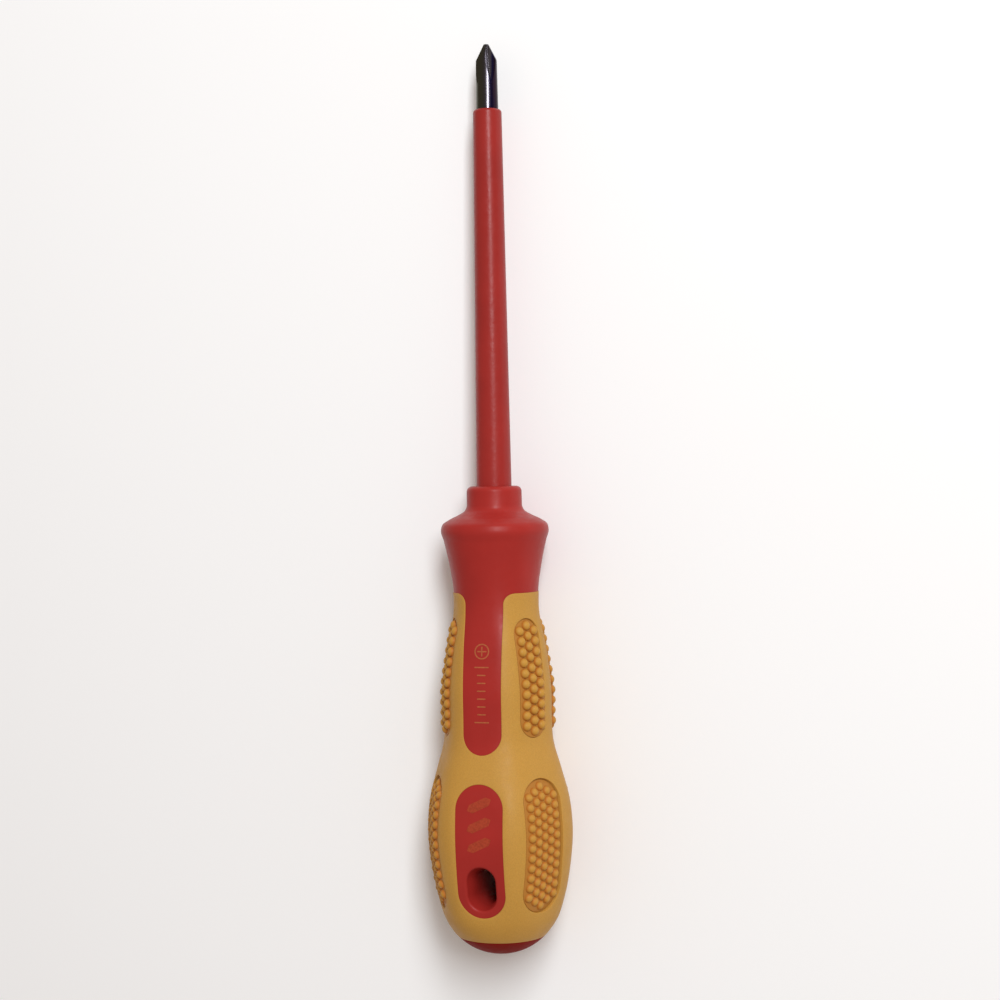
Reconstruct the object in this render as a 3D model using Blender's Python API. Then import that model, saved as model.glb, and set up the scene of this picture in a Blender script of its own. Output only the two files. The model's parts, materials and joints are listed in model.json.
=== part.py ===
"""Insulated cross-tip screwdriver, lying on its side as it rests on a bench.

The tool is modelled along its own axis, with the butt at height 0 and the tip on top. Its pieces hang
on one empty, which lays the tool down: the blade points along +X and the front window faces up.
Dimensions are in millimetres up to make_piece(), which turns them into metres.
"""

import math

import bpy
from mathutils import Matrix, Vector

MM = 0.001
GAP = 0.3  # between pieces that touch

# Heights along the tool, from the butt
CAP_TOP = 3.9
GRIP_TOP = 82.0
COLLAR_TOP = 106.0
BLADE_LENGTH = 100.0
TIP = COLLAR_TOP + BLADE_LENGTH

# Outer skin of the handle: (height, radius) of its widest silhouette
HANDLE_STATIONS = (
    (0.0, 3.0),
    (1.2, 6.4),
    (3.9, 10.05),
    (7.5, 12.65),
    (13.0, 14.45),
    (20.0, 15.8),
    (28.4, 16.46),
    (35.0, 15.88),
    (42.0, 14.1),
    (48.5, 12.4),
    (53.0, 12.15),
    (60.0, 12.15),
    (69.0, 11.2),
    (78.5, 9.7),
    (87.0, 10.3),
    (93.5, 11.6),
    (96.2, 12.25),
    (97.3, 11.95),
    (98.4, 10.5),
    (99.6, 8.1),
    (100.5, 6.75),
    (101.6, 6.28),
)
COLLAR_RADIUS = 6.25
COLLAR_EDGE = 1.25
SPAN_STEPS = 2
SEGMENTS = 24  # a flat side of every ring faces the bench
HALF_SIDE = math.pi / SEGMENTS

# The skin is a soft hexagon between these heights and round at both ends
HEX_DEPTH = 0.022
HEX_RIDGE = math.radians(30.0)
HEX_START, HEX_FULL = 4.0, 14.0
HEX_FADE, HEX_END = 70.0, 84.0

# The bulge is cut flat across the windows, so that it lies still on its back
FLAT_HALF_ANGLE = 3 * HALF_SIDE
FLAT_START, FLAT_FULL = 7.0, 15.0
FLAT_FADE, FLAT_END = 33.0, 42.5

# Layers of the handle
GRIP_WALL = 2.6
STRIP_SUNK = 0.12
CORE_RADIUS = 6.0
CORE_BOTTOM, CORE_TOP = 26.0, 92.0

# Red strip on the front and back, from the neck down
STRIP_WIDTH = 9.0
STRIP_BOTTOM = 46.3
STRIP_CORNER = 2.4

# Red window on the front and back of the bulge, with the hanging hole through it
WINDOW_WIDTH = 11.1
WINDOW_BOTTOM, WINDOW_TOP = 10.1, 40.1
HOLE_WIDTH = 6.5
HOLE_BOTTOM, HOLE_TOP = 11.8, 21.5

# Dotted pads: angles are measured round the tool from the middle of the front window
PAD_RECESS = 1.5
PAD_ROWS = {
    "upper": {"bottom": 49.7, "top": 76.3, "width": 7.5, "angle": 60.2, "proud": 0.6},
    "lower": {"bottom": 10.8, "top": 40.9, "width": 10.9, "angle": 57.4, "proud": 0.0},
}

# Blade and its sleeve
SHANK_RADIUS, NOSE_RADIUS = 2.52, 2.38
TANG_BOTTOM = 36.0
WING_BOTTOM, WING_TOP = 44.0, 54.0
WING_SPAN, WING_THICKNESS = 8.4, 2.2
TIP_RADIUS = 0.55
TIP_HALF_ANGLE = math.radians(27.0)
FLUTE_ROOT = 0.38
FLUTE_LENGTH = 9.3
FLUTE_HALF_ANGLE = math.radians(46.0)
FLUTE_REACH = 4.0
SLEEVE_BOTTOM, SLEEVE_TOP = CORE_TOP + GAP, 191.3
SLEEVE_RADIUS, SLEEVE_TIP_RADIUS = 4.0, 3.25
SLEEVE_EDGE = 0.8

# The end cap's spigot sits in a socket of the body
SPIGOT_RADIUS, SPIGOT_HEIGHT = 4.0, 3.4

COLORS = {
    "steel": ((0.10, 0.095, 0.10), 0.22, 1.0),
    "sleeve_red": ((0.33, 0.04, 0.035), 0.42, 0.0),
    "body_red": ((0.36, 0.035, 0.03), 0.38, 0.0),
    "grip_yellow": ((0.60, 0.34, 0.085), 0.48, 0.0),
    "pad_orange": ((0.56, 0.27, 0.06), 0.55, 0.0),
    "core_black": ((0.03, 0.03, 0.03), 0.5, 0.0),
}


def smooth_step(low, high, value):
    """0 below low, 1 above high and an even S in between."""
    share = min(max((value - low) / (high - low), 0.0), 1.0)
    return share * share * (3.0 - 2.0 * share)


def smooth_curve(points, steps):
    """A smooth curve through the points, whose slope at each weighs its two spans by their length."""
    points = [Vector(point) for point in points]
    spans = [end - start for start, end in zip(points, points[1:])]
    slopes = []
    for before, after in zip(spans, spans[1:]):
        near, far = before.length, after.length
        slopes.append((before * far / near + after * near / far) / (near + far))
    slopes.insert(0, 2 * spans[0] / spans[0].length - slopes[0])
    slopes.append(2 * spans[-1] / spans[-1].length - slopes[-1])
    curve = []
    for start, span, leave, arrive in zip(points, spans, slopes, slopes[1:]):
        for step in range(steps):
            t = step / steps
            leaving = leave * span.length * t * (1 - t) ** 2
            arriving = arrive * span.length * t * t * (1 - t)
            curve.append(tuple(start + span * t * t * (3 - 2 * t) + leaving - arriving))
    return [*curve, tuple(points[-1])]


def handle_outline(steps):
    """(height, radius) along the handle's skin, ending in the collar's rounded edge."""
    outline = smooth_curve(HANDLE_STATIONS, steps)
    for step in range(steps + 1):
        angle = 0.5 * math.pi * step / steps
        outline.append(
            (
                COLLAR_TOP - COLLAR_EDGE + COLLAR_EDGE * math.sin(angle),
                COLLAR_RADIUS - COLLAR_EDGE + COLLAR_EDGE * math.cos(angle),
            )
        )
    return outline


HANDLE_OUTLINE = handle_outline(SPAN_STEPS)


def handle_radius(height):
    """Radius of the handle's skin at this height, before the hexagon."""
    for (low, low_radius), (high, high_radius) in zip(HANDLE_OUTLINE, HANDLE_OUTLINE[1:]):
        if height <= high:
            share = (height - low) / (high - low)
            return low_radius + share * (high_radius - low_radius)
    return HANDLE_OUTLINE[-1][1]


def hexagon_radius(height, angle):
    """Radius of the skin before the flats."""
    hexagon = smooth_step(HEX_START, HEX_FULL, height) - smooth_step(HEX_FADE, HEX_END, height)
    return handle_radius(height) * (1 + HEX_DEPTH * hexagon * math.cos(6 * (angle - HEX_RIDGE)))


def skin_radius(height, angle):
    """Radius of the handle's skin at this height and angle from the front."""
    flat = smooth_step(FLAT_START, FLAT_FULL, height) - smooth_step(FLAT_FADE, FLAT_END, height)
    from_window = abs(math.remainder(angle, math.pi))
    radius = hexagon_radius(height, angle)
    flat_radius = hexagon_radius(height, FLAT_HALF_ANGLE) * math.cos(FLAT_HALF_ANGLE)
    return radius - flat * max(radius - flat_radius / math.cos(from_window), 0.0)


def ring(height, radius_at):
    """One ring of points, counter-clockwise seen from the tip."""
    points = []
    for index in range(SEGMENTS):
        angle = HALF_SIDE * (2 * index + 1)
        radius = radius_at(height, angle)
        points.append((radius * math.cos(angle), radius * math.sin(angle), height))
    return points


def skin_rings(rings, looped=False):
    """Points and faces of a closed solid over the rings: capped at both ends, or looped into a tube."""
    count = len(rings[0])
    points = [point for each in rings for point in each]
    faces = []
    links = len(rings) if looped else len(rings) - 1
    for low in range(links):
        high = (low + 1) % len(rings)
        for index in range(count):
            after = (index + 1) % count
            faces.append(
                (
                    low * count + index,
                    low * count + after,
                    high * count + after,
                    high * count + index,
                )
            )
    if not looped:
        faces.append(tuple(reversed(range(count))))
        faces.append(tuple(range(len(points) - count, len(points))))
    return points, faces


def make_material(name):
    color, roughness, metallic = COLORS[name]
    material = bpy.data.materials.get(name) or bpy.data.materials.new(name)
    material.use_nodes = True
    shader = material.node_tree.nodes["Principled BSDF"]
    shader.inputs["Base Color"].default_value = (*color, 1.0)
    shader.inputs["Roughness"].default_value = roughness
    shader.inputs["Metallic"].default_value = metallic
    material.diffuse_color = (*color, 1.0)
    return material


def make_piece(name, shape, material=None):
    """An object from points in millimetres; without a material it is a hidden cutter."""
    points, faces = shape
    mesh = bpy.data.meshes.new(name)
    mesh.from_pydata([Vector(point) * MM for point in points], [], faces)
    mesh.shade_smooth()
    mesh.set_sharp_from_angle(angle=math.radians(35.0))
    piece = bpy.data.objects.new(name, mesh)
    bpy.context.scene.collection.objects.link(piece)
    piece.parent = bpy.data.objects["tool_axis"]
    if material:
        mesh.materials.append(make_material(material))
    else:
        piece.hide_render = True
        piece.display_type = "WIRE"
    return piece


def combine(piece, operation, other):
    modifier = piece.modifiers.new(f"{operation.lower()} {other.name}", "BOOLEAN")
    modifier.operation = operation
    modifier.object = other
    return piece


def lathe(outline, looped=False):
    """Turned solid from (height, radius) pairs, listed bottom to top on its outer side."""
    return skin_rings([ring(height, lambda *_, r=radius: r) for height, radius in outline], looped)


def inset_rings(bottom, top, inset):
    """Rings of the handle's skin between two heights, moved in by the inset."""
    margin = 0.8
    heights = [height for height, _ in HANDLE_OUTLINE if bottom + margin < height < top - margin]
    heights = [bottom, *heights, top]
    return [ring(height, lambda *place: skin_radius(*place) - inset) for height in heights]


def handle_form(bottom, top, inset):
    """The handle's skin between two heights, moved in by the inset, as a solid."""
    return skin_rings(inset_rings(bottom, top, inset))


def capsule(bottom, top, width, steps=8):
    """Outline of an upright slot with round ends, as (across, height) points."""
    radius = width / 2
    outline = []
    for middle, turn in ((top - radius, 0.0), (bottom + radius, math.pi)):
        for step in range(steps + 1):
            angle = turn + math.pi * step / steps
            outline.append((radius * math.cos(angle), middle + radius * math.sin(angle)))
    return outline


def strip_outline(width, bottom, corner, top, steps=6):
    """Outline of the strip: a round lower end, and corners that flare into the neck."""
    radius = width / 2
    left = []
    for step in range(steps + 1):
        angle = 1.5 * math.pi - 0.5 * math.pi * step / steps
        left.append((radius * math.cos(angle), bottom + radius + radius * math.sin(angle)))
    for step in range(steps + 1):
        angle = 0.5 * math.pi * step / steps
        across = -radius - corner * (1 - math.cos(angle))
        left.append((across, GRIP_TOP - corner + corner * math.sin(angle)))
    left.append((-radius - corner, top))
    right = [(-across, height) for across, height in left[:0:-1]]
    return list(reversed(left)) + list(reversed(right))


def prism(outline, near, far, angle=0.0):
    """The outline pushed outwards through the handle, from near to far of the axis."""
    turn = Matrix.Rotation(angle, 3, "Z")
    rings = [
        [turn @ Vector((reach, across, height)) for across, height in outline]
        for reach in (near, far)
    ]
    return skin_rings(rings)


def merge(shapes):
    """Several shapes as one mesh."""
    points, faces = [], []
    for more_points, more_faces in shapes:
        start = len(points)
        points.extend(more_points)
        faces.extend(tuple(start + index for index in face) for face in more_faces)
    return points, faces


THROUGH = 20.0  # reaches past the handle on each side


def make_red_ribs():
    """The parts of the red body that show through the grip: strips and windows, front and back."""
    shapes = {
        "strips": (
            strip_outline(STRIP_WIDTH - 2 * GAP, STRIP_BOTTOM + GAP, STRIP_CORNER, GRIP_TOP + 2),
            handle_form(STRIP_BOTTOM - 5, GRIP_TOP + 8, STRIP_SUNK),
        ),
        "windows": (
            capsule(WINDOW_BOTTOM + GAP, WINDOW_TOP - GAP, WINDOW_WIDTH - 2 * GAP),
            handle_form(WINDOW_BOTTOM - 2, WINDOW_TOP + 5, STRIP_SUNK),
        ),
    }
    ribs = []
    for name, (outline, form) in shapes.items():
        rib = make_piece(f"{name}_rib", prism(outline, -THROUGH, THROUGH))
        ribs.append(combine(rib, "INTERSECT", make_piece(f"{name}_skin", form)))
    return ribs


def make_handle_body():
    """Red body: collar, shoulder and neck in one with the inner wall, the strips and the windows."""
    neck = GRIP_TOP + GAP
    rings = inset_rings(CAP_TOP + GAP, neck, GRIP_WALL + GAP)
    rings += [ring(neck, skin_radius)]
    rings += [ring(height, skin_radius) for height, _ in HANDLE_OUTLINE if height > neck + 0.8]
    body = make_piece("handle_body", skin_rings(rings), "body_red")
    for rib in make_red_ribs():
        combine(body, "UNION", rib)
    pocket_radius = CORE_RADIUS + GAP
    bore_radius = SLEEVE_RADIUS + GAP
    pocket = (
        (CORE_BOTTOM - GAP, pocket_radius),
        (CORE_TOP + GAP, pocket_radius),
        (CORE_TOP + GAP, bore_radius),
        (COLLAR_TOP + 1, bore_radius),
    )
    combine(body, "DIFFERENCE", make_piece("core_pocket", lathe(pocket)))
    hole = prism(capsule(HOLE_BOTTOM, HOLE_TOP, HOLE_WIDTH), -THROUGH, THROUGH)
    combine(body, "DIFFERENCE", make_piece("hanging_hole", hole))
    socket = lathe(
        (
            (CAP_TOP - 1, SPIGOT_RADIUS + GAP),
            (CAP_TOP + SPIGOT_HEIGHT + GAP, SPIGOT_RADIUS + GAP),
        )
    )
    combine(body, "DIFFERENCE", make_piece("cap_socket", socket))


def pad_places():
    """Name, angle and sizes of each pad: one on each side of the front and of the back."""
    for row, size in PAD_ROWS.items():
        angle = math.radians(size["angle"])
        for side, place in (
            ("front_left", -angle),
            ("front_right", angle),
            ("back_right", math.pi - angle),
            ("back_left", math.pi + angle),
        ):
            yield f"{row}_pad_{side}", place, size


def pad_prism(place, size, shrink=0.0):
    outline = capsule(size["bottom"] + shrink, size["top"] - shrink, size["width"] - 2 * shrink)
    return prism(outline, CORE_RADIUS, THROUGH, place)


def make_soft_grip():
    """Yellow grip: a shell with the strips and windows cut through and a recess for each pad."""
    grip = make_piece("soft_grip", handle_form(CAP_TOP, GRIP_TOP, 0.0), "grip_yellow")
    inside = handle_form(CAP_TOP - 1, GRIP_TOP + 1, GRIP_WALL)
    combine(grip, "DIFFERENCE", make_piece("grip_inside", inside))
    strips = strip_outline(STRIP_WIDTH, STRIP_BOTTOM, STRIP_CORNER, GRIP_TOP + 2)
    combine(grip, "DIFFERENCE", make_piece("strips_cut", prism(strips, -THROUGH, THROUGH)))
    windows = capsule(WINDOW_BOTTOM, WINDOW_TOP, WINDOW_WIDTH)
    combine(grip, "DIFFERENCE", make_piece("windows_cut", prism(windows, -THROUGH, THROUGH)))
    recesses = make_piece("pad_recesses", merge(pad_prism(*pad[1:]) for pad in pad_places()))
    floor = handle_form(CAP_TOP, GRIP_TOP, PAD_RECESS)
    combine(recesses, "DIFFERENCE", make_piece("recess_floor", floor))
    combine(grip, "DIFFERENCE", recesses)


def make_pads():
    """Dotted soft pads as plain slabs that follow the skin: the dots are left to the finish."""
    under = make_piece("pad_underside", handle_form(CAP_TOP, GRIP_TOP, PAD_RECESS - GAP))
    tops = {
        row: make_piece(f"{row}_pad_top", handle_form(CAP_TOP, GRIP_TOP, -size["proud"]))
        for row, size in PAD_ROWS.items()
    }
    for name, place, size in pad_places():
        pad = make_piece(name, pad_prism(place, size, GAP), "pad_orange")
        combine(pad, "INTERSECT", tops[name.split("_")[0]])
        combine(pad, "DIFFERENCE", under)


def make_end_cap():
    """Red cap over the butt, with a spigot up into the body."""
    outline = [(height, radius) for height, radius in HANDLE_OUTLINE if height < CAP_TOP - GAP - 0.3]
    edge = CAP_TOP - GAP
    outline.append((edge, handle_radius(edge)))
    outline.append((edge, SPIGOT_RADIUS))
    outline.append((CAP_TOP + SPIGOT_HEIGHT, SPIGOT_RADIUS))
    make_piece("end_cap", lathe(outline), "body_red")


def tang_outline(extra):
    """The part of the blade inside the handle, grown by this much for its bed in the core."""
    return (
        (TANG_BOTTOM - extra, SHANK_RADIUS + extra),
        (COLLAR_TOP, SHANK_RADIUS + extra),
    )


def wings(extra):
    """Flat wings coined on the tang, which stop it turning, grown by this much."""
    half_span = WING_SPAN / 2 + extra
    half_thickness = WING_THICKNESS / 2 + extra
    outline = (
        (-half_span, WING_TOP + extra),
        (-half_span, WING_BOTTOM - extra),
        (half_span, WING_BOTTOM - extra),
        (half_span, WING_TOP + extra),
    )
    return prism(outline, -half_thickness, half_thickness)


def make_core():
    """Hard inner core, moulded round the tang."""
    outline = ((CORE_BOTTOM, CORE_RADIUS), (CORE_TOP, CORE_RADIUS))
    core = make_piece("handle_core", lathe(outline), "core_black")
    combine(core, "DIFFERENCE", make_piece("tang_bed", lathe(tang_outline(GAP))))
    combine(core, "DIFFERENCE", make_piece("wing_bed", wings(GAP)))


def flute(angle):
    """V-shaped cutter whose edge climbs out of the blade on a parabola, from the tip backwards."""
    steps = 7
    overrun = 0.2
    spread = FLUTE_REACH * math.tan(FLUTE_HALF_ANGLE)
    turn = Matrix.Rotation(angle, 3, "Z")
    rings = []
    for step in range(steps + 1):
        share = 1 + overrun - (1 + 2 * overrun) * step / steps
        height = TIP - share * FLUTE_LENGTH
        root = FLUTE_ROOT + (SHANK_RADIUS - FLUTE_ROOT) * max(share, 0.0) ** 2
        corners = ((root, 0.0), (root + FLUTE_REACH, -spread), (root + FLUTE_REACH, spread))
        rings.append([turn @ Vector((*corner, height)) for corner in corners])
    return skin_rings(rings)


def make_blade():
    """Steel blade: tang with wings, round shank and a cross tip with four flutes."""
    cone_bottom = TIP - (NOSE_RADIUS - TIP_RADIUS) / math.tan(TIP_HALF_ANGLE)
    outline = (
        (TANG_BOTTOM, SHANK_RADIUS),
        (SLEEVE_TOP, SHANK_RADIUS),
        (cone_bottom, NOSE_RADIUS),
        (TIP, TIP_RADIUS),
    )
    blade = make_piece("blade", lathe(outline), "steel")
    combine(blade, "UNION", make_piece("tang_wings", wings(0.0)))
    for quarter in range(4):
        cutter = make_piece(f"flute_{quarter + 1}", flute(math.radians(45 + 90 * quarter)))
        combine(blade, "DIFFERENCE", cutter)


def make_sleeve():
    """Red insulating tube on the blade, with its moulding draft and a rounded mouth."""
    bore = SHANK_RADIUS + GAP
    outline = [(SLEEVE_BOTTOM, SLEEVE_RADIUS), (COLLAR_TOP, SLEEVE_RADIUS)]
    edge_middle = SLEEVE_TIP_RADIUS - SLEEVE_EDGE
    steps = 3
    for step in range(steps + 1):
        angle = 0.5 * math.pi * step / steps
        outline.append(
            (
                SLEEVE_TOP - SLEEVE_EDGE + SLEEVE_EDGE * math.sin(angle),
                max(edge_middle + SLEEVE_EDGE * math.cos(angle), bore + 0.05),
            )
        )
    outline += [(SLEEVE_TOP, bore), (SLEEVE_BOTTOM, bore)]
    make_piece("blade_sleeve", lathe(outline, looped=True), "sleeve_red")


def resting_line():
    """The bench under the back of the handle, which touches the bulge's flat and the shoulder.

    The bench is reach - slope * height from the axis, and this gives (slope, reach).
    """
    under = []
    for height, _ in HANDLE_OUTLINE:
        under.append((height, skin_radius(height, math.pi - HALF_SIDE) * math.cos(HALF_SIDE)))
    middle = (CAP_TOP + COLLAR_TOP) / 2
    bulge = [each for each in under if each[0] < middle]
    shoulder = [each for each in under if each[0] >= middle]
    slope = 0.0
    for _ in range(5):
        low = max(bulge, key=lambda each: each[1] + slope * each[0])
        high = max(shoulder, key=lambda each: each[1] + slope * each[0])
        slope = (low[1] - high[1]) / (high[0] - low[0])
    return slope, low[1] + slope * low[0]


def lay_down():
    """Turns the tool on its side at rest, with the middle of its box over the origin."""
    slope, reach = resting_line()
    tilt = math.atan(slope)
    butt = min(height * math.cos(tilt) - radius * math.sin(tilt) for height, radius in HANDLE_OUTLINE)
    tip = TIP * math.cos(tilt) + TIP_RADIUS * math.sin(tilt)
    along = Vector((math.cos(tilt), 0.0, -math.sin(tilt)))
    front = Vector((math.sin(tilt), 0.0, math.cos(tilt)))
    frame = Matrix((front, along.cross(front), along)).transposed().to_4x4()
    frame.translation = Vector((-(butt + tip) / 2, 0.0, reach * math.cos(tilt))) * MM
    axis = bpy.data.objects.new("tool_axis", None)
    axis.matrix_world = frame
    bpy.context.scene.collection.objects.link(axis)


def main():
    for thing in list(bpy.data.objects):
        bpy.data.objects.remove(thing)
    lay_down()
    make_blade()
    make_sleeve()
    make_core()
    make_handle_body()
    make_soft_grip()
    make_pads()
    make_end_cap()


main()
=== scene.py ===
"""Looks of the insulated screwdriver, lying on its side on a pale studio floor.

Shapes are worked out in millimetres in the tool's own frame: height runs from the butt to the tip, and
angles are measured round the axis from the middle of the front window. to_object() turns them into
metres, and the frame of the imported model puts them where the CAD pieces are.
"""

import bisect
import json
import math

import bmesh
import bpy
from mathutils import Matrix, Vector, geometry


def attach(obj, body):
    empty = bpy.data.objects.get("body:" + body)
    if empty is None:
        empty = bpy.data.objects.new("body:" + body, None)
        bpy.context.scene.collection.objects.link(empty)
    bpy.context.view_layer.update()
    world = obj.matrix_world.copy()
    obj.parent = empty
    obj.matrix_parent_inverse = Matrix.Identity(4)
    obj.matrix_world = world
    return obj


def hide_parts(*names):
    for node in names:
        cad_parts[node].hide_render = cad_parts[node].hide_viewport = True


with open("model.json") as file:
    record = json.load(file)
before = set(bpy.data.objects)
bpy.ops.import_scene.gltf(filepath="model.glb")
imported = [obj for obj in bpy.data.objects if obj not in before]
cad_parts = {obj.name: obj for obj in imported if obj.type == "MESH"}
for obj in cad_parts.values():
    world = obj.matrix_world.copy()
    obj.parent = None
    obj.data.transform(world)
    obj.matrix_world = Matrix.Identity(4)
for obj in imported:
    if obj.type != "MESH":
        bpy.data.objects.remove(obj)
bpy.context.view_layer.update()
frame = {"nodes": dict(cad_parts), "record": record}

MM = 0.001
MOUNTS = {mount["name"]: Vector(mount["pos_m"]) for mount in frame["record"]["mounts"]}
BUTT, TIP_POINT = MOUNTS["butt_end"], MOUNTS["blade_tip"]
ALONG = (TIP_POINT - BUTT).normalized()
SIDE = Vector((0.0, -1.0, 0.0))
FRONT = SIDE.cross(ALONG)
TOOL = Matrix((FRONT, SIDE, ALONG)).transposed().to_4x4()
TOOL.translation = BUTT

# The handle's sizes, as in the CAD model
CAP_TOP = 3.9
GRIP_TOP = 82.0
COLLAR_TOP = 106.0
TIP = (TIP_POINT - BUTT).length / MM
HANDLE_STATIONS = (
    (0.0, 3.0),
    (1.2, 6.4),
    (3.9, 10.05),
    (7.5, 12.65),
    (13.0, 14.45),
    (20.0, 15.8),
    (28.4, 16.46),
    (35.0, 15.88),
    (42.0, 14.1),
    (48.5, 12.4),
    (53.0, 12.15),
    (60.0, 12.15),
    (69.0, 11.2),
    (78.5, 9.7),
    (87.0, 10.3),
    (93.5, 11.6),
    (96.2, 12.25),
    (97.3, 11.95),
    (98.4, 10.5),
    (99.6, 8.1),
    (100.5, 6.75),
    (101.6, 6.28),
)
COLLAR_RADIUS = 6.25
COLLAR_EDGE = 1.25
HEX_DEPTH = 0.022
HEX_RIDGE = math.radians(30.0)
HEX_START, HEX_FULL = 4.0, 14.0
HEX_FADE, HEX_END = 70.0, 84.0
FLAT_HALF_ANGLE = math.radians(22.5)
FLAT_START, FLAT_FULL = 7.0, 15.0
FLAT_FADE, FLAT_END = 33.0, 42.5
FLAT_BLEND = 0.3  # how softly the flat runs out into the round
GRIP_WALL = 2.6
STRIP_SUNK = 0.12
CORE_RADIUS = 6.0
CORE_BOTTOM, CORE_TOP = 26.0, 92.0
STRIP_WIDTH = 9.0
STRIP_BOTTOM = 46.3
STRIP_CORNER = 2.4
WINDOW_WIDTH = 11.1
WINDOW_BOTTOM, WINDOW_TOP = 10.1, 40.1
HOLE_WIDTH = 6.5
HOLE_BOTTOM, HOLE_TOP = 11.8, 21.5
PAD_RECESS = 1.5
PAD_ROWS = {
    "upper": {
        "bottom": 49.7,
        "top": 76.3,
        "width": 7.5,
        "angle": math.radians(60.2),
        "columns": 3,
        "middle_beads": 11,
        "pitch": 2.345,
        "column_pitch": 2.18,
        "bead": 1.125,
        "bead_centre": -0.1,
        "base": 0.35,
        "lift": 0.45,
    },
    "lower": {
        "bottom": 10.8,
        "top": 40.9,
        "width": 10.9,
        "angle": math.radians(57.4),
        "columns": 5,
        "middle_beads": 13,
        "pitch": 2.235,
        "column_pitch": 1.92,
        "bead": 1.105,
        "bead_centre": -0.33,
        "base": 0.6,
        "lift": 0.0,
    },
}
SHANK_RADIUS, NOSE_RADIUS = 2.52, 2.38
TANG_BOTTOM = 36.0
TIP_RADIUS = 0.55
TIP_HALF_ANGLE = math.radians(27.0)
FLUTE_ROOT = 0.38
FLUTE_LENGTH = 9.3
FLUTE_HALF_ANGLE = math.radians(46.0)
FLUTE_REACH = 4.0
SLEEVE_TOP = 191.3
SLEEVE_RADIUS, SLEEVE_TIP_RADIUS = 4.0, 3.25
SLEEVE_EDGE = 0.8
SPIGOT_RADIUS, SPIGOT_HEIGHT = 4.0, 3.4

# Sizes of the finish
GRIP_LIP = 0.1  # rounding of the grip's edges
RIM = 0.7  # rounding of the hanging hole
HOLE_FLARE, FLARE_DEPTH = 0.8, 4.0  # the hole narrows by this much a side, this deep down
FIT = 0.02  # between pieces that touch
LIFT_FULL, LIFT_START = 58.0, 70.0  # the upper pads rise out of the grip below this
FRONT_SHARE = 0.2  # of a pad's depth, along its front edge
PRINT_RISE = 0.04  # of a print above the red, and as far below it
QUARTER = math.pi / 2
QUARTER_COLUMNS = 24
SEGMENTS = 4 * QUARTER_COLUMNS
FILL_STEP = 1.0
EDGE_STEP = 0.45
FLAT_RADIUS = 14.0  # millimetres to a radian where the skin is laid flat
FLAT_MERGE = 1e-5  # points laid flat closer than this are one
WELD = 0.002  # points of a piece closer than this are one
ARC_STEPS = 6  # the fewest in an arc
STRAIGHT_END, SQUARE_START = 5.0, 9.0  # insets turn from straight in to square in between these
SHARP = math.radians(40.0)
SHARP_STEEL = math.radians(25.0)

# How the faces are laid out
EDGE_ROWS = (1.1, 0.65)  # rows of points beside the grip's edges
GRID_GAP, BED_GAP = 1.6, 0.5  # the even grid keeps this far from the edges, and from them inside a bed
BODY_ROWS = (  # rows along the body's edges: how far into the yellow, and whether the grip covers them
    (-1.0, False),
    (-0.4, False),
    (-FIT, False),
    (0.0, True),
    (0.8, True),
)
RED_GAP, COVERED_GAP, HOLE_GAP = 1.4, 1.2, 1.7  # between the body's even grid and its edges
RIM_STEPS = 6
TUNNEL_STEPS = 18
BODY_BOTTOM = CAP_TOP + 0.3
BODY_JOIN = GRIP_TOP + 3.0  # the body is turned from rings above this
RING_GAP = 0.3
FLUSH_START, FLUSH_END = 1.0, 7.0  # above the grip, where the red rises level with the skin
PAD_FIT = 0.06  # between a pad and its bed's side
PAD_LIP = ((0.0, 0.12), (0.05, 0.03), (0.12, 0.0))  # (inward, down) from a pad's edge
PAD_END_START, PAD_END_FULL = 5.0, 1.5  # below a pad's upper end, where its whole floor sinks
BEAD_SIDES, BEAD_ROUNDS = 20, 6
BEAD_FOOT = 0.045  # how far a bead's foot spreads on the floor
CAP_LIP, CAP_LIP_ROOM = 0.2, 0.25
DRAFT_STEPS, MOUTH_STEPS = 12, 7
FLUTE_STEPS, FLUTE_OVERRUN = 14, 0.2  # the cutter overruns the flute by this share at both ends
ROOT_RADIUS, ROOT_STEPS = 0.14, 6
ROOT_SINK = 0.2  # of the root's radius, down into the V
CONE_EDGE = ((-0.15, 0.01), (0.12, -0.06))  # (height, radius) off the corner where the cone starts
TIP_EDGE = ((-0.08, 0.04), (0.0, -0.05))  # and off the corner of the tip's flat

# Prints
STROKE = 0.3
RING_MIDDLE, RING_RADIUS = 69.3, 1.75
CROSS_REACH, CROSS_GAP = 1.0, 0.12
TICKS, FIRST_TICK, TICK_PITCH = 8, 65.8, 1.75
LONG_TICK, SHORT_TICK = 1.6, 0.9
BARS, FIRST_BAR, BAR_PITCH = 3, 35.6, 4.4
BAR_HALF, BAR_RISE, BAR_WIDTH = 1.9, 0.9, 2.0

# Colours
RED = (0.35, 0.0228, 0.0178)
SLEEVE_RED = (0.31, 0.021, 0.0165)
# painted shade: the cap's red is a darker copy of the body's, for the butt that faces away from the lamp
CAP_RED_SHADED = (0.215, 0.010, 0.005)
YELLOW = (0.503, 0.261, 0.049)
AMBER = (0.5, 0.24, 0.037)
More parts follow.
